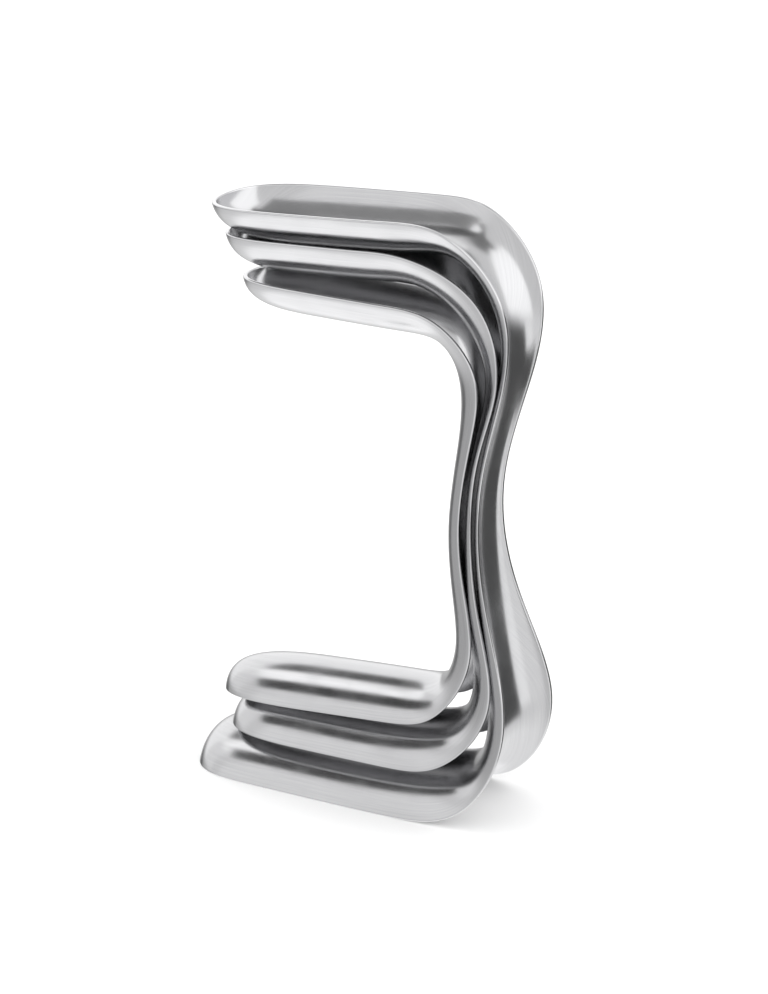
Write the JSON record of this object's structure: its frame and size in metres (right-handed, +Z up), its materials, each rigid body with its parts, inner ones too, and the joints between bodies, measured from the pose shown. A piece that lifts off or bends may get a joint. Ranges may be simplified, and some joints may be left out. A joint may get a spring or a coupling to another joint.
{
  "type": "vaginal speculum set",
  "caption": "Nest of double-ended retracting specula: C-shaped steel gutters, each with a blade at either end of a waisted grip, one inside the other.",
  "frame": {"origin": "middle of the footprint, on the table that the large speculum's lower rims rest on", "axes": "+Z up, +X from the mouth of the C back to the grips, +Y across the blades"},
  "size_m": [0.1108, 0.0432, 0.1848],
  "materials": {
    "stainless_steel": "satin polish"
  },
  "bodies": {
    "large": {"large_speculum": "stainless_steel"},
    "medium": {"medium_speculum": "stainless_steel"},
    "small": {"small_speculum": "stainless_steel"}
  },
  "joints": [
    {"name": "medium_draw", "type": "slide", "parent": "large", "child": "medium", "axis": [-1, 0, 0], "range_m": [0, 0.11]},
    {"name": "small_draw", "type": "slide", "parent": "medium", "child": "small", "axis": [-1, 0, 0], "range_m": [0, 0.105]}
  ]
}
